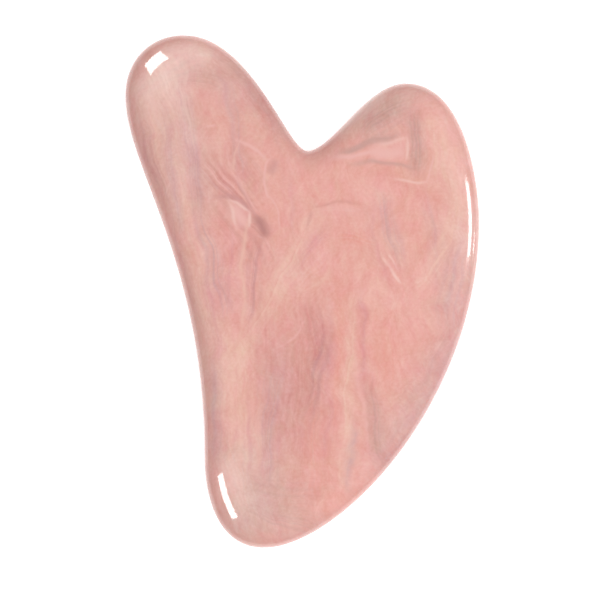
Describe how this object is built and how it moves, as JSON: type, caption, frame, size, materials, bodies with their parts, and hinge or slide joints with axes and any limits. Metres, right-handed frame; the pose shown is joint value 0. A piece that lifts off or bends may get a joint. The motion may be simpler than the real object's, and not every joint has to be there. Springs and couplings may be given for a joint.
{
  "type": "gua sha scraper",
  "caption": "Flat heart-shaped massage scraper board with a rounded rim, a long and a short horn either side of a notch, and a hollow waist.",
  "frame": {"origin": "the middle of the outline's box, on the flat face that the board lies on", "axes": "+Z through the thickness, +Y from the heel up to the horns, +X from the long horn's side to the belly"},
  "size_m": [0.0554, 0.08, 0.006],
  "materials": {
    "marbled_resin": "polished"
  },
  "bodies": {
    "root": {"scraper": "marbled_resin"}
  },
  "joints": []
}
